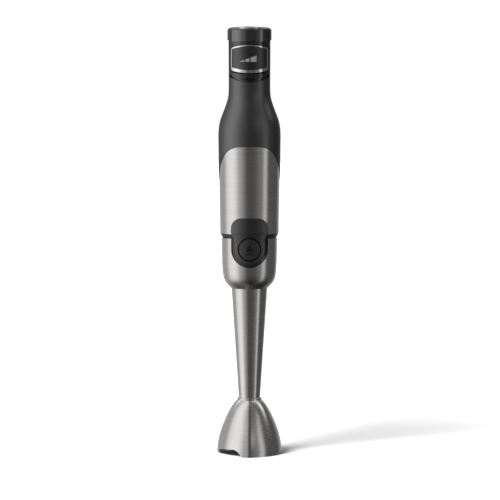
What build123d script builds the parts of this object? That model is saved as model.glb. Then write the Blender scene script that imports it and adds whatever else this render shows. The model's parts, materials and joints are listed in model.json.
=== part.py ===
from build123d import *
import os
from math import cos, radians, sin

os.makedirs("parts", exist_ok=True)

# An immersion blender standing on its bell guard. Millimetres, +Z up, origin on the floor under the
# axis of the motor, front (trigger and release button) towards -Y.

# Driving dimensions of the outside
CAP_TOP_Z = 411.6            # centre of the cap's slanted top
CAP_BASE_Z = 399.9           # centre of the cap's slanted lower edge
CAP_SLANT = 5.0              # degrees, the front is lower
CAP_R = 21.2
DISC_R = 12.4
DISC_CROWN = 1.5             # how far the disc's middle stands above the cap's top
DISC_DOME_R = 50.0
NECK_R = 20.0
GRIP_R = 30.0
GRIP_WIDEST_Z = 307.0
SLEEVE_TOP_R = 29.45
SLEEVE_BASE_R = 28.15
SLEEVE_BASE_Z = 213.9
SLEEVE_WALL = 0.8
GRIP_EDGE_MID_Z = 270.7      # height of the grip's lower edge at the two sides
GRIP_EDGE_RISE = 27.2        # how far that edge climbs to the front and drops to the back
COLLAR_TOP_Z = 209.5
COLLAR_TOP_R = 26.7
COLLAR_BASE_Z = 160.8
COLLAR_WALL = 1.1
TUBE_TOP_R = 17.3
TUBE_BASE_R = 10.2
TUBE_BASE_Z = 54.6
TUBE_WALL = 1.0
BELL_TOP_Z = 54.6
BELL_WALL = 1.2
BELL_CORNERS = 3

# Levels of the bell guard: height, corner distance, mid-face distance, corner rounding
BELL_LEVELS = (
    (0.0, 34.0, 29.9, 7.0),
    (12.0, 33.0, 28.9, 7.0),
    (24.0, 29.6, 25.9, 6.6),
    (36.0, 24.0, 21.5, 5.8),
    (46.0, 18.1, 16.5, 5.0),
    (52.6, 12.0, 11.5, 4.2),
)

# Button, tongue and notch at the joint between the motor unit and the bar
BUTTON_Z = 199.3
BUTTON_R = 10.1
BUTTON_HOLE_R = 11.3
TONGUE_HALF = 14.7
TONGUE_TOP_HALF = 17.9
TONGUE_TOP_Z = 229.2
NOTCH_R = 17.6
FLANGE_Z = 210.1             # underside of the motor base's flange
SPIGOT_R = 23.8
SPIGOT_BASE_Z = 175.8
SOCKET_R = 24.2
SOCKET_STEP_Z = 175.4          # shoulder that the spigot stops on
SOCKET_FLOOR_Z = 172.0

# Speed trigger in the front of the neck
TRIGGER_HALF = 17.9
TRIGGER_TOP_Z = 394.8
TRIGGER_BASE_Z = 367.9
TRIGGER_BOW = 2.7            # how much higher the middle of the top edge is than its ends
TRIGGER_R = 20.5
TRIM_WIDTH = 1.2
TRIM_FOOT = 2.7
TRIM_BACK_Y = -8.6           # back edge of the trim, which stays in the window when squeezed
PIVOT_Y = -13.6
PIVOT_Z = 391.0
PIVOT_R = 0.8
PANEL_BASE_Z = 358.9
PANEL_BOW = 6.0              # how much higher the ends of the panel's lower edge are
GROOVE_R = 18.5              # bottom of the groove between the lip and the grip
GROOVE_WIDTH = 2.0

# Cord outlet in the back of the cap
GLAND_Z = 406.6
GLAND_R = 4.6
CORD_HOLE_R = 3.4

# Running gear
SHAFT_R = 2.5
ARMATURE_R = 3.0
RUNNING_GAP = 0.05
BLADE_Z = 13.0
BLADE_R = 17.4
STATOR_R = 24.4
STATOR_BASE_Z = 238.0
STATOR_TOP_Z = 270.0
BRUSH_Z = 282.5
CORE_R = 14.4
HOUSING_R = 25.2             # inside of the motor compartment

FAR = 90.0                   # longer than any cut needs to be


def save(piece, name):
    """Label one finished sub-part and write its file."""
    piece.part.label = name
    export_step(piece.part, f"parts/{name}.step")


def ring(outer, inner, low, high):
    """Upright round tube, or a disc when inner is 0."""
    with BuildPart() as solid:
        with BuildSketch(Plane.XY.offset(low)):
            Circle(outer)
            if inner:
                Circle(inner, mode=Mode.SUBTRACT)
        extrude(amount=high - low)
    return solid.part


def block(x, y, z):
    """Box between two limits on each axis."""
    with BuildPart() as solid:
        with BuildSketch(Plane.XY.offset(z[0])):
            with Locations(((x[0] + x[1]) / 2, (y[0] + y[1]) / 2)):
                Rectangle(x[1] - x[0], y[1] - y[0])
        extrude(amount=z[1] - z[0])
    return solid.part


def sector(outer, inner, start, end, low, high):
    """Part of an upright tube between two angles from +X, in degrees."""
    with BuildPart() as solid:
        with BuildSketch(Plane.XY.offset(low)):
            with BuildLine():
                CenterArc((0, 0), outer, start, end - start)
                CenterArc((0, 0), inner, start, end - start)
                for angle in (start, end):
                    across = (cos(radians(angle)), sin(radians(angle)))
                    Line((inner * across[0], inner * across[1]), (outer * across[0], outer * across[1]))
            make_face()
        extrude(amount=high - low)
    return solid.part


def coil_spring(seat, radius, wire, length, turns):
    """Round-wire coil spring that stands on the seat plane, along its normal."""
    with BuildPart() as spring:
        with BuildLine() as coil:
            Helix(length / turns, length, radius, center=seat.origin, direction=seat.z_dir)
        with BuildSketch(Plane(origin=coil.line @ 0, z_dir=coil.line % 0)):
            Circle(wire)
        sweep(path=coil.line)
    return spring.part


def slanted_plane(height):
    """Plane that leans forward like the cap's top and lower edge."""
    lean = radians(CAP_SLANT)
    return Plane(origin=(0, 0, height), x_dir=(1, 0, 0), z_dir=(0, -sin(lean), cos(lean)))


def grip_edge_side(drop):
    """Region above the grip's S-shaped lower edge, seen from the side, lowered by drop."""
    top = GRIP_EDGE_MID_Z + GRIP_EDGE_RISE - drop
    base = GRIP_EDGE_MID_Z - GRIP_EDGE_RISE - drop
    with BuildPart() as region:
        with BuildSketch(Plane.YZ.offset(-FAR / 2)):
            with BuildLine():
                edge = Spline(
                    (-31, top),
                    (-24.0, top - 2.2),
                    (-15.5, top - 10.2),
                    (0, GRIP_EDGE_MID_Z - drop),
                    (15.5, base + 10.2),
                    (24.0, base + 2.2),
                    (31, base),
                )
                Polyline(
                    edge @ 1,
                    (FAR, base),
                    (FAR, 2 * CAP_TOP_Z),
                    (-FAR, 2 * CAP_TOP_Z),
                    (-FAR, top),
                    edge @ 0,
                )
            make_face()
        extrude(amount=FAR)
    return region.part


def handle_solid(inset):
    """Outside of the handle, from the motor compartment to the cap, moved inwards by inset."""
    with BuildPart() as solid:
        with BuildSketch(Plane.XZ):
            with BuildLine():
                side = Line((SLEEVE_BASE_R + 0.6 - inset, SLEEVE_BASE_Z), (GRIP_R - inset, GRIP_WIDEST_Z))
                shoulder = Spline(
                    side @ 1,
                    (28.4 - inset, 322),
                    (24.6 - inset, 332.5),
                    (21.6 - inset, 341),
                    (NECK_R - inset, 357),
                    tangents=((0, 1), (0, 1)),
                )
                neck = Line(shoulder @ 1, (NECK_R + 0.2 - inset, CAP_TOP_Z))
                Polyline(neck @ 1, (0, CAP_TOP_Z), (0, SLEEVE_BASE_Z), side @ 0)
            make_face()
        revolve(axis=Axis.Z)
        split(bisect_by=slanted_plane(CAP_BASE_Z - 0.1), keep=Keep.BOTTOM)
    return solid.part


def trigger_face(side, top, base):
    """Trigger outline seen from the front, grown sideways, upwards and downwards."""
    half = TRIGGER_HALF + side
    high = TRIGGER_TOP_Z + top
    low = TRIGGER_BASE_Z - base
    with BuildSketch(Plane.XZ) as face:
        with BuildLine():
            ThreePointArc((-half, high - TRIGGER_BOW), (0, high), (half, high - TRIGGER_BOW))
            ThreePointArc((-half, low + TRIGGER_BOW), (0, low), (half, low + TRIGGER_BOW))
            Line((-half, low + TRIGGER_BOW), (-half, high - TRIGGER_BOW))
            Line((half, low + TRIGGER_BOW), (half, high - TRIGGER_BOW))
        make_face()
        fillet(face.vertices(), 2.6 + side)
    return face.sketch


def trigger_window():
    """Hole through the front of the neck that the trigger swings in."""
    return extrude(trigger_face(0.55, 0.7, 1.3), amount=FAR, dir=(0, -1, 0))


def tongue_face(grow):
    """Tongue outline seen from the front: wide in the sleeve, a rounded end around the button."""
    low = TONGUE_HALF + grow
    wide = TONGUE_TOP_HALF + grow
    crown = TONGUE_TOP_Z + grow
    with BuildSketch(Plane.XZ) as face:
        with BuildLine():
            ThreePointArc((-low, BUTTON_Z), (0, BUTTON_Z - low), (low, BUTTON_Z))
            for turn in (-1, 1):
                Polyline(
                    (turn * low, BUTTON_Z),
                    (turn * low, FLANGE_Z - 0.6),
                    (turn * wide, SLEEVE_BASE_Z + 1),
                    (turn * (wide - 1), crown - 0.6),
                )
            ThreePointArc((-wide + 1, crown - 0.6), (0, crown), (wide - 1, crown - 0.6))
        make_face()
        fillet(face.vertices().group_by(Axis.Z)[-1], 9.5)
    return face.sketch


def bell_section(height, corner, middle, rounding):
    """Three-cornered, bulging section of the bell guard with one corner to the front."""
    with BuildSketch(Plane.XY.offset(height)) as section:
        with BuildLine():
            for turn in range(BELL_CORNERS):
                start = 360 / BELL_CORNERS * turn - 90
                ends = []
                for distance, angle in ((corner, start), (middle, start + 60), (corner, start + 120)):
                    ends.append((distance * cos(radians(angle)), distance * sin(radians(angle))))
                ThreePointArc(*ends)
        make_face()
        fillet(section.vertices(), rounding)
    return section.sketch


def arch_cut(facing):
    """Wave-shaped flow opening: a long gentle rise and a steep end, cut outwards at one side."""
    outwards = Plane(origin=(0, 0, 0), x_dir=(-sin(radians(facing)), cos(radians(facing)), 0),
                     z_dir=(cos(radians(facing)), sin(radians(facing)), 0))
    with BuildPart() as cut:
        with BuildSketch(outwards):
            with BuildLine():
                ThreePointArc((-26, 0), (-9, 4.8), (12, 6.8))
                ThreePointArc((12, 6.8), (19.8, 4.9), (22.9, 0))
                Polyline((22.9, 0), (22.9, -5), (-26, -5), (-26, 0))
            make_face()
        extrude(amount=FAR)
    return cut.part


def bell_hollow():
    """Room inside the bell, a wall's thickness in from its outside."""
    with BuildPart() as hollow:
        for height, corner, middle, rounding in BELL_LEVELS[:-1]:
            add(bell_section(height, corner - BELL_WALL * 1.5, middle - BELL_WALL, rounding - 1))
        loft()
    return hollow.part


def make_bell_guard():
    """Pressed steel guard around the blade, with two flow openings at its rim."""
    with BuildPart() as bell_guard:
        for height, corner, middle, rounding in BELL_LEVELS:
            add(bell_section(height, corner, middle, rounding))
        loft()
        extrude(bell_guard.faces().sort_by(Axis.Z)[-1], amount=BELL_TOP_Z - BELL_LEVELS[-1][0])
        fillet(bell_guard.edges().group_by(Axis.Z)[-1], 0.8)
        add(bell_hollow(), mode=Mode.SUBTRACT)
        add(ring(9.0, 0, 40, 60), mode=Mode.SUBTRACT)
        add(arch_cut(210), mode=Mode.SUBTRACT)
        add(arch_cut(30), mode=Mode.SUBTRACT)
    save(bell_guard, "bell_guard")


def make_bearing_boss():
    """Plastic boss in the bell's neck that carries the lower bush and the seal."""
    with BuildPart() as bearing_boss:
        with BuildSketch(Plane.XZ):
            with BuildLine():
                Polyline((5.0, 34), (4.6, 34), (4.6, 26), (6.8, 26), (8.9, 40), (8.9, 60),
                         (6.2, 60), (6.2, 52), (5.0, 52), (5.0, 34))
            make_face()
        revolve(axis=Axis.Z)
    save(bearing_boss, "bearing_boss")


def make_bar_tube():
    """Tapered steel tube of the blending bar."""
    with BuildPart() as bar_tube:
        with BuildSketch(Plane.XZ):
            with BuildLine():
                Polyline(
                    (TUBE_BASE_R, TUBE_BASE_Z),
                    (TUBE_TOP_R, COLLAR_BASE_Z + 1.5),
                    (TUBE_TOP_R - TUBE_WALL, COLLAR_BASE_Z + 1.5),
                    (TUBE_BASE_R - TUBE_WALL, TUBE_BASE_Z),
                    close=True,
                )
            make_face()
        revolve(axis=Axis.Z)
    save(bar_tube, "bar_tube")


def collar_profile(inset):
    """Outside of the collar as a closed half outline, moved inwards by inset."""
    with BuildSketch(Plane.XZ) as face:
        with BuildLine():
            wall = Line((COLLAR_TOP_R - inset, COLLAR_TOP_Z), (26.4 - inset, 190))
            bend = Spline(
                wall @ 1,
                (26.0 - inset, 181),
                (25.1 - inset, 172.6),
                (23.2 - inset * 0.8, 167.4),
                (TUBE_TOP_R + 0.2 - inset * 0.2, COLLAR_BASE_Z + inset),
                tangents=((0, -1), (-0.9, -1)),
            )
            Polyline(bend @ 1, (0, COLLAR_BASE_Z + inset), (0, COLLAR_TOP_Z), wall @ 0)
        make_face()
    return face.sketch


def make_bar_collar():
    """Steel cup at the top of the bar, with the notch that clears the tongue."""
    with BuildPart() as bar_collar:
        revolve(collar_profile(0), axis=Axis.Z)
        revolve(collar_profile(COLLAR_WALL), axis=Axis.Z, mode=Mode.SUBTRACT)
        add(ring(TUBE_TOP_R + 0.05, 0, COLLAR_BASE_Z - 1, COLLAR_BASE_Z + 3), mode=Mode.SUBTRACT)
        with BuildSketch(Plane.XZ):
            with Locations((0, BUTTON_Z)):
                Circle(NOTCH_R)
            with Locations((0, (BUTTON_Z + COLLAR_TOP_Z) / 2 + 5)):
                Rectangle(2 * NOTCH_R, COLLAR_TOP_Z - BUTTON_Z + 10)
        extrude(amount=FAR, mode=Mode.SUBTRACT)
    save(bar_collar, "bar_collar")


def make_collar_liner():
    """Plastic socket inside the collar: guides the spigot and holds the bar's upper bush."""
    with BuildPart() as collar_liner:
        revolve(collar_profile(COLLAR_WALL + 0.05), axis=Axis.Z)
        add(ring(FAR, 0, COLLAR_TOP_Z - 0.4, COLLAR_TOP_Z + 1), mode=Mode.SUBTRACT)
        add(ring(SOCKET_R, 0, SOCKET_STEP_Z, COLLAR_TOP_Z), mode=Mode.SUBTRACT)
        add(ring(SOCKET_R - 1.8, 0, SOCKET_FLOOR_Z, COLLAR_TOP_Z), mode=Mode.SUBTRACT)
        add(ring(TUBE_TOP_R + 0.1, 9.0, COLLAR_BASE_Z - 1, SOCKET_FLOOR_Z - 2.5), mode=Mode.SUBTRACT)
        add(ring(9.0, 0, COLLAR_BASE_Z - 1, COLLAR_BASE_Z + 6))
        add(ring(5.0, 0, COLLAR_BASE_Z - 2, SOCKET_FLOOR_Z), mode=Mode.SUBTRACT)
        with BuildSketch(Plane.XZ):
            with Locations((0, BUTTON_Z)):
                Circle(TONGUE_HALF + 0.5)
            with Locations((0, (BUTTON_Z + COLLAR_TOP_Z) / 2 + 5)):
                Rectangle(2 * TONGUE_HALF + 1.0, COLLAR_TOP_Z - BUTTON_Z + 10)
        extrude(amount=FAR, mode=Mode.SUBTRACT)
        add(block((-6.5, 6.5), (-25.0, -15), (SOCKET_STEP_Z, 179.2)), mode=Mode.SUBTRACT)
    save(collar_liner, "collar_liner")


def make_shaft_housing():
    """Inner tube of the bar, between the boss and the liner."""
    with BuildPart() as shaft_housing:
        add(ring(8.8, 7.4, 60, 159))
        for height in (85, 110, 135):
            add(ring(9.9, 8.8, height, height + 3))
        add(ring(7.4, 4.0, 108, 114))
    save(shaft_housing, "shaft_housing")


def make_bar_bearings():
    """Sintered bushes at both ends of the drive shaft, and the lip seal below the lower one."""
    with BuildPart() as upper_bush:
        add(ring(5.0, SHAFT_R + RUNNING_GAP, 161, SOCKET_FLOOR_Z))
    save(upper_bush, "upper_bush")
    with BuildPart() as lower_bush:
        add(ring(5.0, SHAFT_R + RUNNING_GAP, 36, 50))
    save(lower_bush, "lower_bush")
    with BuildPart() as shaft_seal:
        add(ring(4.6, 3.2, 27, 34))
        add(ring(3.2, SHAFT_R + RUNNING_GAP, 27, 28.2))
        add(ring(3.2, SHAFT_R + RUNNING_GAP, 31, 32.2))
    save(shaft_seal, "shaft_seal")


def spline_star(root, tip, count, width, low, high):
    """Toothed drive profile: a round core with straight teeth."""
    with BuildPart() as star:
        with BuildSketch(Plane.XY.offset(low)):
            Circle(root)
            with PolarLocations((root + tip) / 2 - 0.5, count):
                Rectangle(tip - root + 1, width)
        extrude(amount=high - low)
    return star.part


def make_drive_shaft_group():
    """Shaft, its star coupling, blade, hub and retaining clip, which all turn together."""
    with BuildPart() as drive_shaft:
        add(ring(SHAFT_R, 0, 8.5, 184))
        chamfer(drive_shaft.edges().group_by(Axis.Z)[0], 0.5)
        add(ring(FAR, SHAFT_R - 0.35, 53.5, 54.4), mode=Mode.SUBTRACT)
    save(drive_shaft, "drive_shaft")
    with BuildPart() as bar_coupling:
        add(spline_star(4.6, 6.4, 6, 2.2, 176.5, 187))
        add(ring(8.0, 0, 173, 176.5))
        add(ring(SHAFT_R, 0, 170, 184), mode=Mode.SUBTRACT)
    save(bar_coupling, "bar_coupling")
    with BuildPart() as shaft_clip:
        with BuildSketch(Plane.XY.offset(53.6)):
            Circle(4.6)
            Circle(SHAFT_R - 0.35, mode=Mode.SUBTRACT)
            with Locations((0, 3.5)):
                Rectangle(2.6, 4, mode=Mode.SUBTRACT)
        extrude(amount=0.7)
    save(shaft_clip, "shaft_clip")
    with BuildPart() as blade_hub:
        add(ring(4.4, SHAFT_R, 15.2, 25))
        chamfer(blade_hub.edges().group_by(Axis.Z)[-1].sort_by(SortBy.RADIUS)[-1], 1.0)
    save(blade_hub, "blade_hub")
    with BuildPart() as blade_nut:
        with BuildSketch(Plane.XY.offset(10)):
            RegularPolygon(4.2, 6)
            Circle(SHAFT_R, mode=Mode.SUBTRACT)
        extrude(amount=BLADE_Z - 10)
    save(blade_nut, "blade_nut")


def make_blade():
    """Stamped two-wing knife, one wing turned up and the other down, both twisted."""
    with BuildPart() as blade:
        with BuildSketch(Plane.XY.offset(BLADE_Z)):
            Circle(6.2)
        extrude(amount=2.2)
        for side, rise in ((1, 9), (-1, -9)):
            tilt = radians(rise)
            wing = Plane(
                origin=(0, 0, BLADE_Z + 0.5),
                x_dir=(side * cos(tilt), 0, side * sin(tilt)),
                z_dir=(-sin(tilt), side * sin(radians(14)), cos(tilt)),
            )
            with BuildSketch(wing):
                with BuildLine():
                    Polyline((5, -4.2), (BLADE_R - 4, -4.6))
                    ThreePointArc((BLADE_R - 4, -4.6), (BLADE_R - 0.6, -1), (BLADE_R - 2.4, 3.6))
                    Polyline((BLADE_R - 2.4, 3.6), (5, 4.2), (5, -4.2))
                make_face()
            extrude(amount=1.2)
        add(ring(SHAFT_R, 0, 5, 25), mode=Mode.SUBTRACT)
    save(blade, "blade")


def make_motor_base():
    """Black foot of the motor unit: flange, spigot, tongue, bearing hub and air outlets."""
    with BuildPart() as motor_base:
        with BuildSketch(Plane.XZ):
            with BuildLine():
                Polyline(
                    (SLEEVE_BASE_R - 0.2, SLEEVE_BASE_Z - 0.1),
                    (SLEEVE_BASE_R - 2.2, FLANGE_Z),
                    (SPIGOT_R, FLANGE_Z),
                    (SPIGOT_R, SPIGOT_BASE_Z),
                    (SPIGOT_R - 2.0, SPIGOT_BASE_Z),
                    (SPIGOT_R - 2.0, FLANGE_Z),
                    (12.0, FLANGE_Z),
                    (12.0, 203.0),
                    (5.0, 203.0),
                    (5.0, 205.5),
                    (9.5, 205.5),
                    (9.5, SLEEVE_BASE_Z - 0.1),
                    close=True,
                )
            make_face()
        revolve(axis=Axis.Z)
        with BuildSketch(Plane.XY.offset(FLANGE_Z - 5)):
            with PolarLocations(17.0, 10, start_angle=18):
                SlotOverall(7.0, 2.6)
        extrude(amount=20, mode=Mode.SUBTRACT)
        add(tongue_body(0, 22.4))
        add(block((-10, 10), (-12.9, -11.2), (186, FLANGE_Z)))
        with BuildSketch(Plane.XZ):
            with Locations((0, BUTTON_Z)):
                Circle(BUTTON_HOLE_R)
        extrude(amount=FAR, mode=Mode.SUBTRACT)
        add(ring(12.6, 0, SPIGOT_BASE_Z, 186), mode=Mode.SUBTRACT)
        add(block((-10, 10), (-12.9, -11.2), (186, FLANGE_Z)))
        add(block((-6.8, 6.8), (-FAR, -15), (SPIGOT_BASE_Z - 1, 179.6)), mode=Mode.SUBTRACT)
        add(ring(8.5, 0, 178, 202.9), mode=Mode.SUBTRACT)
        add(ring(ARMATURE_R + 1.2, 0, 200, 210), mode=Mode.SUBTRACT)
    save(motor_base, "motor_base")


def tongue_body(grow, inner):
    """The tongue as a solid: flush with the collar below and with the sleeve above."""
    with BuildPart() as body:
        with BuildSketch(Plane.XZ):
            with BuildLine():
                Polyline(
                    (inner, BUTTON_Z - 20),
                    (26.2, BUTTON_Z - 20),
                    (26.5, FLANGE_Z - 4),
                    (SLEEVE_BASE_R - 0.1, SLEEVE_BASE_Z + 1),
                    (SLEEVE_BASE_R, TONGUE_TOP_Z + 1),
                    (inner, TONGUE_TOP_Z + 1),
                    close=True,
                )
            make_face()
        revolve(axis=Axis.Z)
        front = extrude(tongue_face(grow), amount=FAR, dir=(0, -1, 0), mode=Mode.PRIVATE)
        add(front, mode=Mode.INTERSECT)
    return body.part


def make_release_button_group():
    """Round unlock button, the latch plate that it pushes back, and its return spring."""
    with BuildPart() as release_button:
        with BuildSketch(Plane.XZ.offset(17.6)):
            with Locations((0, BUTTON_Z)):
                Circle(BUTTON_R)
        extrude(amount=12)
        add(ring(26.6, 0, 150, 240), mode=Mode.INTERSECT)
        with BuildSketch(Plane.XZ.offset(17.6)):
            with Locations((0, BUTTON_Z)):
                Circle(4.4)
        extrude(amount=4, mode=Mode.SUBTRACT)
    save(release_button, "release_button")
    with BuildPart() as latch_plate:
        add(block((-5.5, 5.5), (-20.6, -19.0), (176.4, 186.2)))
        add(block((-5.5, 5.5), (-23.4, -20.6), (176.4, 178.6)))
        add(block((-4.5, 4.5), (-19.0, -17.6), (182, 186.2)))
        add(block((-4.5, 4.5), (-17.6, -16.4), (182, 191)))
    save(latch_plate, "latch_plate")
    with BuildPart() as release_spring:
        add(coil_spring(Plane(origin=(0, -13.3, BUTTON_Z), z_dir=(0, -1, 0)), 3.3, 0.35, 7.6, 5))
    save(release_spring, "release_spring")


def make_motor_sleeve():
    """Brushed steel sleeve around the motor, under the grip's edge and around the tongue."""
    with BuildPart() as motor_sleeve:
        with BuildSketch(Plane.XZ):
            with BuildLine():
                Polyline(
                    (SLEEVE_BASE_R, SLEEVE_BASE_Z),
                    (SLEEVE_TOP_R, 300),
                    (SLEEVE_TOP_R - SLEEVE_WALL, 300),
                    (SLEEVE_BASE_R - SLEEVE_WALL, SLEEVE_BASE_Z),
                    close=True,
                )
            make_face()
        revolve(axis=Axis.Z)
        add(grip_edge_side(0.15), mode=Mode.SUBTRACT)
        window = extrude(tongue_face(0.2), amount=FAR, dir=(0, -1, 0), mode=Mode.PRIVATE)
        add(window, mode=Mode.SUBTRACT)
    save(motor_sleeve, "motor_sleeve")


def make_grip_shell():
    """Soft-touch handle: full outside above its S-shaped edge, a thin inner wall under the sleeve."""
    with BuildPart() as grip_shell:
        add(handle_solid(0))
        add(grip_edge_side(0), mode=Mode.INTERSECT)
        with BuildSketch(Plane.XZ):
            with BuildLine():
                Polyline(
                    (0, SLEEVE_BASE_Z + 0.2),
                    (SLEEVE_BASE_R - SLEEVE_WALL - 0.1, SLEEVE_BASE_Z + 0.2),
                    (SLEEVE_TOP_R - SLEEVE_WALL - 0.1, 300),
                    (0, 300),
                    close=True,
                )
            make_face()
        revolve(axis=Axis.Z)
        with BuildSketch(Plane.XZ):
            with BuildLine():
                Polyline(
                    (0, SLEEVE_BASE_Z),
                    (HOUSING_R, SLEEVE_BASE_Z),
                    (HOUSING_R, 308),
                    (17.6, 338),
                    (17.6, CAP_TOP_Z),
                    (0, CAP_TOP_Z),
                    close=True,
                )
            make_face()
        revolve(axis=Axis.Z, mode=Mode.SUBTRACT)
        add(switch_panel_region(0.15), mode=Mode.SUBTRACT)
        add(tongue_slot(), mode=Mode.SUBTRACT)
    save(grip_shell, "grip_shell")


def tongue_slot():
    """Room that the tongue's upper end takes out of the inner wall."""
    return extrude(tongue_face(0.3), amount=FAR, dir=(0, -1, 0))


def switch_panel_region(grow):
    """Front of the neck from the smile-shaped groove to the cap, seen from the front."""
    half = NECK_R * sin(radians(72)) + grow
    end = PANEL_BASE_Z + PANEL_BOW - grow
    with BuildPart() as region:
        with BuildSketch(Plane.XZ):
            with BuildLine():
                ThreePointArc((-half, end), (0, PANEL_BASE_Z - grow), (half, end))
                Polyline((half, end), (half, CAP_TOP_Z), (-half, CAP_TOP_Z), (-half, end))
            make_face()
        extrude(amount=FAR)
    return region.part


def trigger_lip():
    """Bulging lip of the panel just below the trigger."""
    with BuildPart() as lip:
        with BuildSketch(Plane.XZ):
            with BuildLine():
                ThreePointArc((19.4, 360.4), (20.6, 362.8), (21.0, 366.2))
                Polyline((21.0, 366.2), (18.2, 366.4), (18.2, 360.4), (19.4, 360.4))
            make_face()
        revolve(axis=Axis.Z)
        with BuildSketch(Plane.XZ):
            with Locations((0, 363)):
                RectangleRounded(35, 12, 5)
        extrude(amount=FAR, mode=Mode.INTERSECT)
        add(switch_panel_region(0), mode=Mode.INTERSECT)
    return lip.part


def panel_groove():
    """Everything outside the groove's floor and below its upper edge."""
    return ring(FAR, GROOVE_R, 350, 374) - Pos(0, 0, GROOVE_WIDTH) * switch_panel_region(0)


def make_switch_panel():
    """Gloss front panel of the neck around the trigger window, with a lip under the trigger."""
    with BuildPart() as switch_panel:
        add(handle_solid(0.15))
        add(ring(17.8, 0, SLEEVE_BASE_Z - 1, CAP_TOP_Z + 9), mode=Mode.SUBTRACT)
        add(switch_panel_region(0), mode=Mode.INTERSECT)
        add(trigger_lip())
        add(trigger_window(), mode=Mode.SUBTRACT)
        add(panel_groove(), mode=Mode.SUBTRACT)
    save(switch_panel, "switch_panel")


def make_trigger_group():
    """Speed trigger with its chrome frame, the pin it swings on and its torsion spring."""
    outer = extrude(Pos(0, TRIM_BACK_Y, 0) * trigger_face(0, 0, 0), amount=FAR, dir=(0, -1, 0))
    inner = extrude(trigger_face(-TRIM_WIDTH, -TRIM_WIDTH, -TRIM_FOOT), amount=FAR, dir=(0, -1, 0))
    with BuildPart() as speed_trigger:
        add(ring(TRIGGER_R - 0.4, TRIGGER_R - 2.8, 350, 400))
        for side in (-1, 1):
            add(block(sorted((side * 9.4, side * 12.0)), (-17.5, -12.2), (387.6, 392.2)))
        add(block((-1.5, 1.5), (-18.0, -10.8), (371.4, 375.0)))
        add(ring(TRIGGER_R - 0.4, 0, 350, 400), mode=Mode.INTERSECT)
        add(inner, mode=Mode.INTERSECT)
        with BuildSketch(Plane.YZ.offset(-12.2)):
            with Locations((PIVOT_Y, PIVOT_Z)):
                Circle(PIVOT_R + RUNNING_GAP)
        extrude(amount=24.4, mode=Mode.SUBTRACT)
    save(speed_trigger, "speed_trigger")
    with BuildPart() as trigger_trim:
        add(ring(TRIGGER_R, TRIGGER_R - 3.0, 350, 400))
        add(outer, mode=Mode.INTERSECT)
        add(inner, mode=Mode.SUBTRACT)
    save(trigger_trim, "trigger_trim")
    with BuildPart() as trigger_pivot_pin:
        with BuildSketch(Plane.YZ.offset(-12.0)):
            with Locations((PIVOT_Y, PIVOT_Z)):
                Circle(PIVOT_R)
        extrude(amount=24.0)
    save(trigger_pivot_pin, "trigger_pivot_pin")
    with BuildPart() as trigger_spring:
        seat = Plane(origin=(-2.6, PIVOT_Y, PIVOT_Z), z_dir=(1, 0, 0))
        add(coil_spring(seat, PIVOT_R + 1.0, 0.25, 5.2, 4))
    save(trigger_spring, "trigger_spring")


def cap_hollow():
    """Room inside the cap, under its slanted top."""
    with BuildPart() as hollow:
        add(ring(CAP_R - 2.2, 0, CAP_BASE_Z - 12, CAP_TOP_Z + 10))
        split(bisect_by=slanted_plane(CAP_TOP_Z - 3.2), keep=Keep.BOTTOM)
    return hollow.part


def make_cap_group():
    """Slanted gloss cap, its bright disc, the blank band on its front and the cord's gland."""
    with BuildPart() as top_cap:
        add(ring(CAP_R, 0, CAP_BASE_Z - 10, CAP_TOP_Z + 10))
        split(bisect_by=slanted_plane(CAP_TOP_Z), keep=Keep.BOTTOM)
        fillet(top_cap.edges().group_by(Axis.Z)[-1], 3.0)
        split(bisect_by=slanted_plane(CAP_BASE_Z), keep=Keep.TOP)
        add(cap_hollow(), mode=Mode.SUBTRACT)
        with BuildSketch(slanted_plane(CAP_TOP_Z)):
            Circle(DISC_R + 0.3)
        extrude(amount=-1.2, mode=Mode.SUBTRACT)
        add(cap_band_region(0.1), mode=Mode.SUBTRACT)
        add(gland_bore(GLAND_R + 0.05), mode=Mode.SUBTRACT)
    save(top_cap, "top_cap")
    with BuildPart() as top_disc:
        with BuildSketch(slanted_plane(CAP_TOP_Z - 1.2)):
            Circle(DISC_R)
        extrude(amount=1.2 + DISC_CROWN)
        with Locations(slanted_plane(CAP_TOP_Z + DISC_CROWN - DISC_DOME_R)):
            Sphere(DISC_DOME_R, mode=Mode.INTERSECT)
    save(top_disc, "top_disc")
    with BuildPart() as cap_band:
        add(ring(CAP_R + 0.35, CAP_R - 1.0, CAP_BASE_Z - 10, CAP_TOP_Z + 5))
        add(cap_band_region(0), mode=Mode.INTERSECT)
    save(cap_band, "cap_band")
    with BuildPart() as cord_gland:
        with BuildSketch(Plane.XZ.offset(-17.5)):
            with Locations((0, GLAND_Z)):
                Circle(GLAND_R)
        extrude(amount=-6.4)
        with BuildSketch(Plane.XZ.offset(-17.5)):
            with Locations((0, GLAND_Z)):
                Circle(CORD_HOLE_R)
        extrude(amount=-6.4, mode=Mode.SUBTRACT)
    save(cord_gland, "cord_gland")


def gland_bore(radius):
    """Round hole through the cap's back wall."""
    with BuildPart() as bore:
        with BuildSketch(Plane.XZ.offset(-10)):
            with Locations((0, GLAND_Z)):
                Circle(radius)
        extrude(amount=-20)
    return bore.part


def cap_band_region(grow):
    """Front part of the cap's wall that the blank band fills."""
    half = 17.0 + grow
    with BuildPart() as region:
        with BuildSketch(Plane.XZ):
            with Locations((0, 403.6)):
                RectangleRounded(2 * half, 11.2 + 2 * grow, 0.6)
        extrude(amount=FAR)
    return region.part


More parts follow.
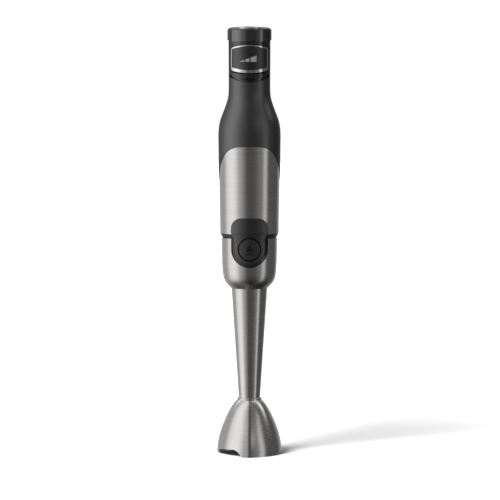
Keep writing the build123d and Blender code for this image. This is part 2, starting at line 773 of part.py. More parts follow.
def make_rotor():
    """Armature: shaft, laminated core, windings, commutator, fan and driving coupling."""
    with BuildPart() as armature_shaft:
        add(ring(ARMATURE_R, 0, 189, 299))
        chamfer(armature_shaft.edges().group_by(Axis.Z)[-1], 0.6)
    save(armature_shaft, "armature_shaft")
    with BuildPart() as rotor_core:
        with BuildSketch(Plane.XY.offset(STATOR_BASE_Z)):
            Circle(CORE_R)
            Circle(ARMATURE_R, mode=Mode.SUBTRACT)
            with PolarLocations(CORE_R - 1.6, 12):
                Rectangle(4.2, 1.5, mode=Mode.SUBTRACT)
        extrude(amount=STATOR_TOP_Z - STATOR_BASE_Z)
    save(rotor_core, "rotor_core")
    with BuildPart() as rotor_windings:
        for low, high in ((STATOR_BASE_Z - 4.6, STATOR_BASE_Z), (STATOR_TOP_Z, STATOR_TOP_Z + 4.6)):
            add(ring(12.4, 4.2, low, high))
        fillet(rotor_windings.edges().group_by(Axis.Z)[0], 1.6)
        fillet(rotor_windings.edges().group_by(Axis.Z)[-1], 1.6)
    save(rotor_windings, "rotor_windings")
    with BuildPart() as commutator:
        with BuildSketch(Plane.XY.offset(276)):
            Circle(8.0)
            Circle(ARMATURE_R, mode=Mode.SUBTRACT)
        extrude(amount=12)
        with BuildSketch(Plane.XY.offset(277.5)):
            with PolarLocations(8.0, 24):
                Rectangle(0.9, 0.4)
        extrude(amount=10.5, mode=Mode.SUBTRACT)
    save(commutator, "commutator")
    with BuildPart() as cooling_fan:
        add(ring(21.0, 5.5, 222.0, 223.4))
        add(ring(6.0, ARMATURE_R, 220.0, 231))
        with BuildSketch(Plane.XY.offset(223.0)):
            with PolarLocations(13.4, 11):
                Rectangle(15.2, 1.1, rotation=24)
        extrude(amount=7.6)
        add(ring(21.0, 0, 219, 232), mode=Mode.INTERSECT)
        add(ring(ARMATURE_R, 0, 219, 232), mode=Mode.SUBTRACT)
    save(cooling_fan, "cooling_fan")
    with BuildPart() as motor_coupling:
        add(ring(8.2, 0, 178.5, 202.4))
        add(ring(ARMATURE_R, 0, 189, 205), mode=Mode.SUBTRACT)
        add(spline_star(5.0, 6.8, 6, 3.0, 178, 188.2), mode=Mode.SUBTRACT)
    save(motor_coupling, "motor_coupling")


def make_stator():
    """Laminated stator with its two field coils."""
    with BuildPart() as motor_stator:
        with BuildSketch(Plane.XY.offset(STATOR_BASE_Z)):
            Circle(STATOR_R)
            Rectangle(2 * STATOR_R, 42, mode=Mode.INTERSECT)
            Circle(15.0, mode=Mode.SUBTRACT)
        extrude(amount=STATOR_TOP_Z - STATOR_BASE_Z)
        for middle in (28, 152, 208, 332):
            add(sector(20.8, 16.6, middle - 10, middle + 10, 200, 300), mode=Mode.SUBTRACT)
    save(motor_stator, "motor_stator")
    with BuildPart() as field_coils:
        for start in (18.5, 198.5):
            end = start + 143
            add(sector(20.6, 16.8, start, end, STATOR_TOP_Z, STATOR_TOP_Z + 4.5))
            add(sector(20.6, 16.8, start, end, STATOR_BASE_Z - 4.5, STATOR_BASE_Z))
            for low in (start, end - 19):
                add(sector(20.6, 16.8, low, low + 19, STATOR_BASE_Z, STATOR_TOP_Z))
    save(field_coils, "field_coils")


def make_motor_frames():
    """Brackets above and below the stator, with the two ball bearings of the armature."""
    with BuildPart() as lower_bracket:
        add(ring(STATOR_R, STATOR_R - 2.0, SLEEVE_BASE_Z, STATOR_BASE_Z))
        for angle in (0, 60, 120):
            slot = Rot(0, 0, angle) * block((-FAR, FAR), (-6, 6), (218, 233))
            add(slot, mode=Mode.SUBTRACT)
        add(tongue_slot(), mode=Mode.SUBTRACT)
    save(lower_bracket, "lower_bracket")
    with BuildPart() as upper_bracket:
        add(ring(STATOR_R, STATOR_R - 2.0, STATOR_TOP_Z, 292))
        add(ring(STATOR_R, 5.0, 291, 293))
        add(ring(10.0, 8.0, 293, 298.5))
        for angle in (45, 135):
            slot = Rot(0, 0, angle) * block((-FAR, FAR), (-7, 7), (273, 288))
            add(slot, mode=Mode.SUBTRACT)
        add(block((-FAR, FAR), (-4.2, 4.2), (BRUSH_Z - 4.7, BRUSH_Z + 4.7)), mode=Mode.SUBTRACT)
        with PolarLocations(16, 6):
            add(ring(3.2, 0, 285, 300), mode=Mode.SUBTRACT)
    save(upper_bracket, "upper_bracket")
    with BuildPart() as lower_bearing:
        add(ring(9.5, ARMATURE_R + RUNNING_GAP, 205.5, 212.5))
    save(lower_bearing, "lower_bearing")
    with BuildPart() as upper_bearing:
        add(ring(8.0, ARMATURE_R + RUNNING_GAP, 293, 298))
    save(upper_bearing, "upper_bearing")


def make_brush_gear():
    """Two brass brush holders with their carbon brushes, on opposite sides of the commutator."""
    with BuildPart() as brush_holders:
        for side in (-1, 1):
            add(block(sorted((side * 10, side * 24.2)), (-4, 4), (BRUSH_Z - 4, BRUSH_Z + 4)))
            add(block(sorted((side * 9, side * 22.6)), (-2.6, 2.6), (BRUSH_Z - 2.6, BRUSH_Z + 2.6)),
                mode=Mode.SUBTRACT)
    save(brush_holders, "brush_holders")
    with BuildPart() as carbon_brushes:
        for side in (-1, 1):
            add(block(sorted((side * 8.05, side * 18)), (-2.5, 2.5), (BRUSH_Z - 2.5, BRUSH_Z + 2.5)))
        add(ring(8.05, 0, 270, 290), mode=Mode.SUBTRACT)
    save(carbon_brushes, "carbon_brushes")
    with BuildPart() as brush_springs:
        for side in (-1, 1):
            seat = Plane(origin=(side * 18.3, 0, BRUSH_Z), z_dir=(side, 0, 0))
            add(coil_spring(seat, 1.7, 0.25, 4.0, 5))
    save(brush_springs, "brush_springs")


def make_electronics():
    """Chassis in the neck with the speed board, trigger switch, suppressor and heat sink."""
    with BuildPart() as handle_chassis:
        add(ring(23.6, 13.0, 300, 302))
        for side in (-1, 1):
            x = sorted((side * 12.2, side * 15.2))
            add(block(x, (2.0, 8.0), (302, 391)))
            add(block(sorted((side * 10, side * 15.4)), (2, 8), (300, 304)))
            add(block(sorted((side * 11.2, side * 12.8)), (4.0, 5.6), (306, 391)), mode=Mode.SUBTRACT)
        add(ring(16.6, 9.0, 391, 393.4))
        add(block((-FAR, FAR), (-FAR, -4.0), (390, 396)), mode=Mode.SUBTRACT)
        for side in (-1, 1):
            add(block(sorted((side * 6.0, side * 8.0)), (-15.0, 12.0), (388.6, 393.4)))
        with BuildSketch(Plane.YZ.offset(-9)):
            with Locations((PIVOT_Y, PIVOT_Z)):
                Circle(PIVOT_R)
        extrude(amount=18, mode=Mode.SUBTRACT)
    save(handle_chassis, "handle_chassis")
    with BuildPart() as control_board:
        add(block((-12.6, 12.6), (4.05, 5.55), (307, 388)))
        with BuildSketch(Plane.XZ):
            with GridLocations(20, 74, 2, 2):
                with Locations((0, 347.5)):
                    Circle(1.2)
        extrude(amount=-20, mode=Mode.SUBTRACT)
    save(control_board, "control_board")
    with BuildPart() as trigger_switch:
        add(block((-6.5, 6.5), (-5.6, 4.05), (362, 379)))
        add(block((-1.8, 1.8), (-7.0, -5.6), (371.4, 375.0)))
        fillet(trigger_switch.edges().filter_by(Axis.Z).group_by(Axis.Y)[0], 0.5)
    save(trigger_switch, "trigger_switch")
    with BuildPart() as suppressor_capacitor:
        add(block((-9, 9), (-6.5, 4.05), (336, 350)))
        fillet(suppressor_capacitor.edges().group_by(Axis.Y)[0], 1.0)
    save(suppressor_capacitor, "suppressor_capacitor")
    with BuildPart() as heat_sink:
        add(block((-10, 10), (2.6, 4.05), (314, 331)))
        for x in (-9.3, -5.6, -1.9, 1.8, 5.5, 9.2):
            add(block((x - 0.7, x + 0.7), (-5, 2.6), (314, 331)))
    save(heat_sink, "heat_sink")


def make_all():
    """Build and write every sub-part."""
    make_bell_guard()
    make_bearing_boss()
    make_bar_tube()
    make_bar_collar()
    make_collar_liner()
    make_shaft_housing()
    make_bar_bearings()
    make_drive_shaft_group()
    make_blade()
    make_motor_base()
    make_release_button_group()
    make_motor_sleeve()
    make_grip_shell()
    make_switch_panel()
    make_trigger_group()
    make_cap_group()
    make_rotor()
    make_stator()
    make_motor_frames()
    make_brush_gear()
    make_electronics()


make_all()
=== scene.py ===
"""Looks of the immersion blender: materials, printed marks, release spring, studio and camera."""

import json
import math

import bmesh
import bpy
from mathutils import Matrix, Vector


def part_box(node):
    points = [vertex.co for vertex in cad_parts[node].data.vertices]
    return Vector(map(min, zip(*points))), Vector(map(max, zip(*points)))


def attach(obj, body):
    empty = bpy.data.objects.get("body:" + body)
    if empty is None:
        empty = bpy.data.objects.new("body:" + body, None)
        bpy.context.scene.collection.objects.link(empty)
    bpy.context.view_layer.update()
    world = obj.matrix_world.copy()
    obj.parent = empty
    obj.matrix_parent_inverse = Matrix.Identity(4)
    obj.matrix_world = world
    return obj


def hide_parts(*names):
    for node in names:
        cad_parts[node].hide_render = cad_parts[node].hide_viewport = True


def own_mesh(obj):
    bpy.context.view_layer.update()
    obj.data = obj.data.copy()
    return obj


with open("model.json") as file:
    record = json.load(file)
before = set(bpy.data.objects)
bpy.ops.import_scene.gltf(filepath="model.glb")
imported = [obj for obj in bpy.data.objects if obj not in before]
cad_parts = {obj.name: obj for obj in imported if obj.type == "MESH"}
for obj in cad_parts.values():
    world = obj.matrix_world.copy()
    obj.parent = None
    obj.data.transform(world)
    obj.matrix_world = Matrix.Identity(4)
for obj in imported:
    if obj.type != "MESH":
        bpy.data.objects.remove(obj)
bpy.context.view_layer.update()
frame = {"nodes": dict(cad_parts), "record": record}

MM = 0.001
NODES = frame["nodes"]
SCENE = bpy.context.scene

# Camera: its place in metres, how far it looks down in degrees, its lens and sensor in millimetres,
# and how far it sees in metres
CAMERA_DISTANCE = 2.556
CAMERA_HEIGHT = 0.3427
CAMERA_SIDE = 0.0005
CAMERA_PITCH = 3.25
CAMERA_LENS = 190.8
CAMERA_SENSOR = 36.0
CAMERA_REACH = 100.0

# Printed marks: how far they stand out of the surface and reach into it
MARK_LIFT = 0.06 * MM
MARK_SINK = 0.10 * MM

# Speed wedge, in millimetres: its bars from left to right, where it starts, how fast it rises,
# and how far its foot is below the middle of the trigger
WEDGE_BARS = ((-9.6, -5.0), (-3.9, -0.2), (1.1, 6.8))
WEDGE_START = -10.5
WEDGE_SLOPE = 0.347
WEDGE_DROP = 3.5

# Release sign: half its width, then heights from the middle of the button
SIGN_HALF_WIDTH = 4.0 * MM
ARROW_FOOT = -2.0 * MM
ARROW_TIP = 4.7 * MM
ARROW_EDGE = 0.02 * MM          # height left at the arrow's two lower corners
SIGN_BAR_FOOT = -5.5 * MM
SIGN_BAR_TOP = -3.9 * MM

# Release spring: wire, turns, and how finely it is cut
SPRING_WIRE_R = 0.35 * MM
SPRING_TURNS = 5
STEPS_PER_TURN = 24
SPRING_SIDES = 10

STEEL = (0.70, 0.685, 0.67)     # colour of the brushed steel
SHARP_ANGLE = 30.0              # degrees between two faces, from which their edge stays sharp

# Studio panels: azimuth from the front, growing to the right, half width, soft edge (all in
# degrees), lowest and highest sine of elevation, and brightness
PANELS = {
    "left_softbox": (-78, 22, 16, -1.2, 1.2, 0.60),
    "left_wall": (-62, 26, 28, -1.2, 1.2, 0.42),
    "right_strip": (64, 6, 6, -1.2, 0.62, 0.52),
    "right_wall": (52, 10, 14, -1.2, 1.2, 0.10),
    "right_card": (33, 8, 9, 0.20, 0.50, 0.34),
    "back_wall": (-160, 54, 18, -1.2, 1.2, 0.34),
    "left_rim": (-133, 4, 5, 0.44, 1.2, 1.20),
    "right_rim": (108, 5, 5, 0.44, 1.2, 1.60),
}
PANEL_END_SOFTNESS = 0.12       # half the fade at a panel's ends, in sine of elevation
ROOM_LEVEL = 0.09               # brightness between the panels
FLOOR_FADE = (-0.85, -0.35)     # sines of elevation between which the room darkens downwards
FLOOR_SHARE = 0.14              # share of the brightness left below that

# Key light: where it stands and how wide it is, in degrees, and its strength
KEY_AZIMUTH = -40
KEY_ELEVATION = 42
KEY_SPREAD = 26
KEY_STRENGTH = 6.6

FLOOR_HALF_WIDTH = 12.0         # metres


# ---------------------------------------------------------------- node helpers

class Shader:
    """A material or world node tree with short calls for the nodes that it is made of."""

    def __init__(self, tree):
        self.tree = tree
        self.tree.nodes.clear()

    def add(self, kind, inputs=None, **settings):
        node = self.tree.nodes.new(kind)
        for name, value in settings.items():
            setattr(node, name, value)
        for name, value in (inputs or {}).items():
            self.feed(node, name, value)
        return node

    def feed(self, node, name, value):
        socket = node.inputs[name]
        if hasattr(value, "bl_idname") and value.bl_idname.startswith("NodeSocket"):
            self.tree.links.new(value, socket)
        else:
            socket.default_value = value

    def math(self, operation, first, second):
        return self.add("ShaderNodeMath", {0: first, 1: second}, operation=operation).outputs[0]

    def remap(self, value, low, high, to_low, to_high, smooth=False):
        node = self.add("ShaderNodeMapRange", {
            "Value": value, "From Min": low, "From Max": high,
            "To Min": to_low, "To Max": to_high,
        })
        node.interpolation_type = "SMOOTHSTEP" if smooth else "LINEAR"
        return node.outputs["Result"]

    def blend(self, factor, first, second):
        node = self.add("ShaderNodeMix", data_type="RGBA")
        self.feed(node, 0, factor)
        self.feed(node, 6, first)
        self.feed(node, 7, second)
        return node.outputs[2]

    def place(self):
        """Position on the object, in metres."""
        return self.add("ShaderNodeTexCoord").outputs["Object"]

    def stretched(self, scale):
        """Position scaled by a different amount along each axis."""
        return self.add("ShaderNodeMapping", {"Vector": self.place(), "Scale": scale}).outputs[0]

    def noise(self, vector, detail=3.0, rough=0.55):
        return self.add("ShaderNodeTexNoise", {
            "Vector": vector, "Scale": 1.0, "Detail": detail, "Roughness": rough,
        }).outputs["Fac"]

    def bump(self, height, strength, distance):
        return self.add("ShaderNodeBump", {
            "Height": height, "Strength": strength, "Distance": distance,
        }).outputs[0]

    def edges(self, radius):
        """0 on open surface, 1 on sharp outer edges, from the difference that a bevel makes."""
        bevel = self.add("ShaderNodeBevel", {"Radius": radius}, samples=4)
        flat = self.add("ShaderNodeNewGeometry").outputs["Normal"]
        dot = self.add("ShaderNodeVectorMath", {0: bevel.outputs[0], 1: flat},
                       operation="DOT_PRODUCT").outputs["Value"]
        return self.remap(dot, 0.985, 0.80, 0.0, 1.0)


def rgb(value):
    """Colour with alpha from a grey value or three numbers."""
    if isinstance(value, (int, float)):
        value = (value,) * 3
    return (*value, 1.0)


def new_material(name):
    material = bpy.data.materials.new(name)
    material.use_nodes = True
    return material, Shader(material.node_tree)


def finish_material(material, shader, bsdf):
    out = shader.add("ShaderNodeOutputMaterial")
    shader.tree.links.new(bsdf.outputs[0], out.inputs[0])
    return material


# ---------------------------------------------------------------- materials

def brushed_steel(name, rough, anisotropy=0.75):
    """Steel brushed round the axis: fine horizontal lines, reflections drawn out upwards."""
    material, s = new_material(name)
    fine = s.noise(s.stretched((70, 70, 2600)), detail=4, rough=0.6)
    broad = s.noise(s.stretched((22, 22, 520)), detail=3)
    cloud = s.noise(s.stretched((18, 18, 9)), detail=2)
    lines = s.math("ADD", s.math("MULTIPLY", fine, 0.6), s.math("MULTIPLY", broad, 0.4))
    shade = s.remap(lines, 0.30, 0.70, 0.91, 1.08)
    wear = s.edges(0.0005)
    base = s.add("ShaderNodeVectorMath", {0: STEEL, "Scale": shade}, operation="SCALE").outputs[0]
    base = s.blend(wear, base, rgb(0.82))
    roughness = s.math("ADD", s.remap(lines, 0.3, 0.7, rough - 0.05, rough + 0.06),
                       s.remap(cloud, 0.3, 0.7, -0.02, 0.03))
    bsdf = s.add("ShaderNodeBsdfPrincipled", {
        "Base Color": base, "Metallic": 1.0, "Roughness": roughness,
        "Anisotropic": anisotropy, "Anisotropic Rotation": 0.25,
        "Normal": s.bump(lines, 0.07, 0.00006),
    })
    tangent = s.add("ShaderNodeTangent", direction_type="RADIAL", axis="Z")
    s.feed(bsdf, "Tangent", tangent.outputs[0])
    return finish_material(material, s, bsdf)


def turned_metal(name, colour, rough, grain=900.0):
    """Plain ground or polished metal with a fine grain and brighter edges."""
    material, s = new_material(name)
    grain_noise = s.noise(s.stretched((grain, grain, grain)), detail=3)
    smudge = s.noise(s.stretched((60, 60, 60)), detail=2)
    base = s.blend(s.remap(grain_noise, 0.3, 0.7, 0.0, 0.35), rgb(colour),
                   rgb([c * 0.8 for c in colour]))
    base = s.blend(s.edges(0.0003), base, rgb([min(1.0, c * 1.25) for c in colour]))
    bsdf = s.add("ShaderNodeBsdfPrincipled", {
        "Base Color": base, "Metallic": 1.0,
        "Roughness": s.math("ADD", s.remap(grain_noise, 0.3, 0.7, rough - 0.03, rough + 0.04),
                            s.remap(smudge, 0.3, 0.7, -0.02, 0.03)),
        "Normal": s.bump(grain_noise, 0.05, 0.00003),
    })
    return finish_material(material, s, bsdf)


def moulded(name, colour, rough, grain=0.12, ior=1.5, edge=0.0, dull_rim=False):
    """Moulded plastic or rubber: fine spark-eroded grain, slight mottling, paler worn edges.

    A soft-touch finish, dull_rim, loses its gloss where it is seen edge on.
    """
    material, s = new_material(name)
    fine = s.noise(s.stretched((1800, 1800, 1800)), detail=3, rough=0.6)
    cloud = s.noise(s.stretched((45, 45, 45)), detail=3)
    base = s.blend(s.remap(cloud, 0.3, 0.7, 0.0, 1.0), rgb([c * 0.9 for c in colour]),
                   rgb([c * 1.12 for c in colour]))
    if edge:
        base = s.blend(s.math("MULTIPLY", s.edges(0.0004), edge), base,
                       rgb([min(1.0, c * 3 + 0.03) for c in colour]))
    bsdf = s.add("ShaderNodeBsdfPrincipled", {
        "Base Color": base,
        "Roughness": s.math("ADD", s.remap(fine, 0.3, 0.7, rough - 0.03, rough + 0.04),
                            s.remap(cloud, 0.3, 0.7, -0.02, 0.03)),
        "IOR": ior,
        "Normal": s.bump(fine, grain, 0.00005),
    })
    if dull_rim:
        facing = s.add("ShaderNodeLayerWeight", {"Blend": 0.5}).outputs["Facing"]
        s.feed(bsdf, "Specular IOR Level", s.remap(facing, 0.35, 0.85, 0.5, 0.04, smooth=True))
    return finish_material(material, s, bsdf)


def windings(name):
    """Enamelled copper wire lying side by side around the axis."""
    material, s = new_material(name)
    wave = s.add("ShaderNodeTexWave", {
        "Vector": s.place(), "Scale": 700.0, "Distortion": 1.5, "Detail": 1.0,
    }, wave_type="BANDS", bands_direction="Z").outputs["Fac"]
    base = s.blend(wave, rgb((0.16, 0.05, 0.02)), rgb((0.62, 0.26, 0.10)))
    bsdf = s.add("ShaderNodeBsdfPrincipled", {
        "Base Color": base, "Metallic": 0.8, "Roughness": s.remap(wave, 0, 1, 0.5, 0.3),
        "Normal": s.bump(wave, 0.5, 0.0003),
    })
    return finish_material(material, s, bsdf)


def laminations(name):
    """Stack of thin iron sheets seen from the side."""
    material, s = new_material(name)
    wave = s.add("ShaderNodeTexWave", {"Vector": s.place(), "Scale": 320.0, "Distortion": 0.2},
                 wave_type="BANDS", bands_direction="Z").outputs["Fac"]
    grain = s.noise(s.stretched((900, 900, 2500)))
    base = s.blend(wave, rgb((0.10, 0.10, 0.11)), rgb((0.30, 0.30, 0.32)))
    bsdf = s.add("ShaderNodeBsdfPrincipled", {
        "Base Color": base, "Metallic": 0.9, "Roughness": s.remap(grain, 0.3, 0.7, 0.35, 0.55),
        "Normal": s.bump(wave, 0.3, 0.0001),
    })
    return finish_material(material, s, bsdf)


def circuit_board(name):
    """Green solder mask with copper tracks showing through."""
    material, s = new_material(name)
    tracks = s.add("ShaderNodeTexBrick", {
        "Vector": s.place(), "Scale": 160.0, "Mortar Size": 0.02,
    }).outputs["Fac"]
    cloud = s.noise(s.stretched((120, 120, 120)))
    base = s.blend(tracks, rgb((0.02, 0.12, 0.05)), rgb((0.06, 0.26, 0.12)))
    base = s.blend(s.remap(cloud, 0.4, 0.7, 0.0, 0.3), base, rgb((0.01, 0.07, 0.03)))
    bsdf = s.add("ShaderNodeBsdfPrincipled", {
        "Base Color": base, "Roughness": s.remap(cloud, 0.3, 0.7, 0.3, 0.42),
        "Normal": s.bump(tracks, 0.3, 0.0001),
    })
    return finish_material(material, s, bsdf)


def black_plastic(name, rough, ior, grain=0.12, colour=(0.002, 0.002, 0.0022)):
    """Moulded black whose gloss fades where it is seen edge on."""
    return moulded(name, colour, rough, grain, ior, dull_rim=True)


def make_materials():
    """One material for each slot of the record."""
    gloss = {"grain": 0.02, "colour": (0.002, 0.002, 0.002)}
    return {
        "bell_steel": brushed_steel("bell_steel", 0.23, anisotropy=0.6),
        "tube_steel": brushed_steel("tube_steel", 0.28),
        "collar_steel": brushed_steel("collar_steel", 0.29),
        "sleeve_steel": brushed_steel("sleeve_steel", 0.29),
        "blade_steel": turned_metal("blade_steel", (0.62, 0.62, 0.62), 0.22),
        "bright_chrome": turned_metal("bright_chrome", (0.88, 0.88, 0.89), 0.07, grain=400.0),
        "disc_metal": turned_metal("disc_metal", (0.90, 0.90, 0.90), 0.20),
        "badge_metal": black_plastic("badge_metal", 0.13, 2.4, **gloss),
        "soft_grip": black_plastic("soft_grip", 0.36, 2.3),
        "gloss_black": black_plastic("gloss_black", 0.14, 1.9, **gloss),
        "satin_black": black_plastic("satin_black", 0.36, 2.0),
        "button_grey": black_plastic("button_grey", 0.36, 1.9, colour=(0.004, 0.004, 0.0044)),
        "trigger_pad": black_plastic("trigger_pad", 0.34, 1.9),
        "inner_plastic": moulded("inner_plastic", (0.06, 0.06, 0.06), 0.5, edge=0.3),
        "housing_plastic": moulded("housing_plastic", (0.55, 0.55, 0.53), 0.45),
        "shaft_steel": turned_metal("shaft_steel", (0.60, 0.60, 0.61), 0.25),
        "spring_steel": turned_metal("spring_steel", (0.50, 0.50, 0.51), 0.3),
        "bronze": turned_metal("bronze", (0.50, 0.33, 0.15), 0.45),
        "seal_rubber": moulded("seal_rubber", (0.02, 0.02, 0.02), 0.5, grain=0.2),
        "lamination": laminations("lamination"),
        "copper": windings("copper"),
        "brass_slot": turned_metal("brass_slot", (0.72, 0.52, 0.22), 0.28),
        "carbon": moulded("carbon", (0.03, 0.03, 0.03), 0.6, grain=0.3),
        "board": circuit_board("board"),
        "sink_metal": turned_metal("sink_metal", (0.75, 0.75, 0.76), 0.32),
        "capacitor_case": moulded("capacitor_case", (0.65, 0.50, 0.08), 0.3),
    }


# ---------------------------------------------------------------- meshes

def shade_smooth(obj):
    """Smooth shading, with an edge kept sharp where its faces meet at SHARP_ANGLE or more."""
    mesh = obj.data
    bm = bmesh.new()
    bm.from_mesh(mesh)
    limit = math.radians(SHARP_ANGLE)
    for face in bm.faces:
        face.smooth = True
    for edge in bm.edges:
        edge.smooth = len(edge.link_faces) == 2 and edge.calc_face_angle(0.0) < limit
    bm.to_mesh(mesh)
    bm.free()


def mesh_object(name, bm, material, body, slot):
    """Turn a bmesh into a piece that rides on a body."""
    mesh = bpy.data.meshes.new(name)
    bm.normal_update()
    bm.to_mesh(mesh)
    bm.free()
    obj = bpy.data.objects.new(name, mesh)
    SCENE.collection.objects.link(obj)
    mesh.materials.append(material)
    shade_smooth(obj)
    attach(obj, body)
    return obj


def wrapped_mark(name, left, right, lower, upper, radius, style, steps=10):
    """Thin printed mark bent round the axis on the front; lower and upper give z at each x."""
    bm = bmesh.new()
    rows = []
    for i in range(steps + 1):
        x = left + (right - left) * i / steps
        row = []
        for reach in (radius + MARK_LIFT, radius - MARK_SINK):
            y = -math.sqrt(reach ** 2 - x ** 2)
            row += [bm.verts.new((x, y, lower(x))), bm.verts.new((x, y, upper(x)))]
        rows.append(row)
    for near, far in zip(rows, rows[1:]):
        for a, b in ((0, 1), (1, 3), (3, 2), (2, 0)):
            bm.faces.new((near[a], near[b], far[b], far[a]))
    for row in (rows[0], rows[-1]):
        bm.faces.new((row[0], row[1], row[3], row[2]))
    bmesh.ops.remove_doubles(bm, verts=bm.verts, dist=1e-7)
    bmesh.ops.dissolve_degenerate(bm, edges=bm.edges, dist=1e-7)
    bmesh.ops.recalc_face_normals(bm, faces=bm.faces)
    return mesh_object(name, bm, *style)


def dress_cad(materials):
    """Give every CAD node its slot's material and smooth shading."""
    slot_of = {row["node"]: row["material_slot"] for row in frame["record"]["subparts"]}
    for name, obj in NODES.items():
        obj.data.materials.clear()
        obj.data.materials.append(materials[slot_of[name]])
        shade_smooth(obj)


def make_speed_wedge():
    """Rising bars on the trigger, a generic speed sign."""
    low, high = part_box("speed_trigger")
    foot = (low.z + high.z) / 2 - WEDGE_DROP * MM
    style = (moulded("print_grey", (0.12, 0.12, 0.12), 0.4), "trigger", "trigger_pad")
    for i, (left, right) in enumerate(WEDGE_BARS):
        wrapped_mark(f"speed_wedge_{i + 1}", left * MM, right * MM, lambda x: foot,
                     lambda x: foot + WEDGE_SLOPE * (x - WEDGE_START * MM), -low.y, style)


def make_release_sign():
    """Arrow over a bar on the button, a generic eject sign."""
    low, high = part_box("release_button")
    middle = (low.z + high.z) / 2
    style = (moulded("print_black", (0.003, 0.003, 0.003), 0.2), "release_button", "button_grey")
    half, foot, tip = SIGN_HALF_WIDTH, middle + ARROW_FOOT, middle + ARROW_TIP
    wrapped_mark("release_arrow", -half, half, lambda x: foot,
                 lambda x: tip - (tip - foot - ARROW_EDGE) * abs(x) / half, -low.y, style, 12)
    wrapped_mark("release_bar", -half, half, lambda x: middle + SIGN_BAR_FOOT,
                 lambda x: middle + SIGN_BAR_TOP, -low.y, style)


def make_release_spring(materials):
    low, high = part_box("release_spring")
    middle = (low + high) / 2
    coil_r = (high.x - low.x) / 2 - SPRING_WIRE_R
    length = high.y - low.y - 2 * SPRING_WIRE_R
    along = Vector((0, 1, 0))
    steps = SPRING_TURNS * STEPS_PER_TURN
    bm = bmesh.new()
    rings = []
    for i in range(steps + 1):
        turn = math.tau * SPRING_TURNS * i / steps
        out = Vector((math.cos(turn), 0, math.sin(turn)))
        centre = Vector((middle.x, high.y - SPRING_WIRE_R - length * i / steps, middle.z))
        centre += out * coil_r
        ring = []
        for j in range(SPRING_SIDES):
            side = math.tau * j / SPRING_SIDES
            offset = out * math.cos(side) + along * math.sin(side)
            ring.append(bm.verts.new(centre + offset * SPRING_WIRE_R))
        rings.append(ring)
    for near, far in zip(rings, rings[1:]):
        for j in range(SPRING_SIDES):
            k = (j + 1) % SPRING_SIDES
            bm.faces.new((near[j], near[k], far[k], far[j]))
    bm.faces.new(rings[0])
    bm.faces.new(rings[-1])
    bmesh.ops.recalc_face_normals(bm, faces=bm.faces)
    spring = mesh_object("release_spring_coil", bm, materials["spring_steel"], "motor_unit",
                         "spring_steel")
    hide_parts("release_spring")
    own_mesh(spring)


# ---------------------------------------------------------------- studio

def add_panel(s, flat, z, azimuth, half_width, edge, low, high, brightness):
    """Brightness of one tall soft panel in every direction."""
    side = math.radians(azimuth)
    across = s.add("ShaderNodeVectorMath", {0: flat, 1: (math.sin(side), -math.cos(side), 0)},
                   operation="DOT_PRODUCT").outputs["Value"]
    outer, inner = (math.cos(math.radians(half_width + way * edge)) for way in (1, -1))
    lit = s.remap(across, outer, inner, 0.0, brightness, smooth=True)
    soft = PANEL_END_SOFTNESS
    above = s.remap(z, low - soft, low + soft, 0.0, 1.0, smooth=True)
    below = s.remap(z, high - soft, high + soft, 1.0, 0.0, smooth=True)
    return s.math("MULTIPLY", s.math("MULTIPLY", lit, above), below)


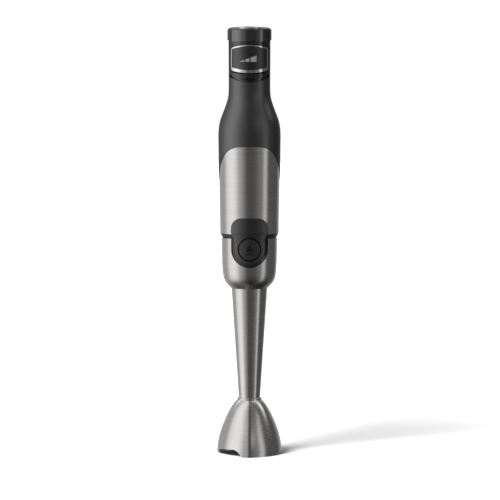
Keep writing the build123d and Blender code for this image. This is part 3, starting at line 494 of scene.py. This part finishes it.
def make_world():
    """White to the eye; in reflections, a dim studio with a few tall soft panels in it."""
    world = bpy.data.worlds.new("studio")
    SCENE.world = world
    world.use_nodes = True
    s = Shader(world.node_tree)
    direction = s.add("ShaderNodeTexCoord").outputs["Generated"]
    x, y, z = s.add("ShaderNodeSeparateXYZ", {0: direction}).outputs
    level_part = s.add("ShaderNodeCombineXYZ", {0: x, 1: y}).outputs[0]
    flat = s.add("ShaderNodeVectorMath", {0: level_part}, operation="NORMALIZE").outputs[0]
    total = ROOM_LEVEL
    for panel in PANELS.values():
        total = s.math("ADD", add_panel(s, flat, z, *panel), total)
    total = s.math("MULTIPLY", total, s.remap(z, *FLOOR_FADE, FLOOR_SHARE, 1.0, smooth=True))
    dim = s.add("ShaderNodeBackground", {"Color": rgb(1.0), "Strength": total})
    white = s.add("ShaderNodeBackground", {"Color": rgb(1.0), "Strength": 1.0})
    seen = s.add("ShaderNodeLightPath").outputs["Is Camera Ray"]
    mix = s.add("ShaderNodeMixShader", {0: seen, 1: dim.outputs[0], 2: white.outputs[0]})
    out = s.add("ShaderNodeOutputWorld")
    s.tree.links.new(mix.outputs[0], out.inputs[0])


def make_sun():
    """Soft key light from the front left, which lights the floor and casts the shadow."""
    data = bpy.data.lights.new("key", "SUN")
    data.energy = KEY_STRENGTH
    data.angle = math.radians(KEY_SPREAD)
    key = bpy.data.objects.new("key", data)
    SCENE.collection.objects.link(key)
    side, up = math.radians(KEY_AZIMUTH), math.radians(KEY_ELEVATION)
    towards = Vector((math.sin(side) * math.cos(up), -math.cos(side) * math.cos(up), math.sin(up)))
    key.rotation_euler = towards.to_track_quat("Z", "Y").to_euler()
    key.visible_camera = False
    key.visible_glossy = False


def make_floor():
    """Large pale floor with a faint mottling, left out of reflections."""
    bm = bmesh.new()
    bmesh.ops.create_grid(bm, x_segments=8, y_segments=8, size=FLOOR_HALF_WIDTH)
    mesh = bpy.data.meshes.new("floor")
    bm.to_mesh(mesh)
    bm.free()
    floor = bpy.data.objects.new("floor", mesh)
    SCENE.collection.objects.link(floor)
    material, s = new_material("floor_white")
    cloud = s.noise(s.stretched((3, 3, 3)))
    bsdf = s.add("ShaderNodeBsdfDiffuse", {"Color": s.blend(cloud, rgb(0.64), rgb(0.68))})
    mesh.materials.append(finish_material(material, s, bsdf))
    floor.visible_glossy = False


def make_camera():
    """Long lens in front of the object, looking slightly down."""
    data = bpy.data.cameras.new("camera")
    data.sensor_width = CAMERA_SENSOR
    data.lens = CAMERA_LENS
    data.clip_end = CAMERA_REACH
    camera = bpy.data.objects.new("camera", data)
    SCENE.collection.objects.link(camera)
    camera.location = (CAMERA_SIDE, -CAMERA_DISTANCE, CAMERA_HEIGHT)
    camera.rotation_euler = (math.radians(90 - CAMERA_PITCH), 0, 0)
    SCENE.camera = camera


def main():
    SCENE.view_settings.view_transform = "Standard"
    make_camera()
    materials = make_materials()
    dress_cad(materials)
    make_speed_wedge()
    make_release_sign()
    make_release_spring(materials)
    make_world()
    make_sun()
    make_floor()


main()
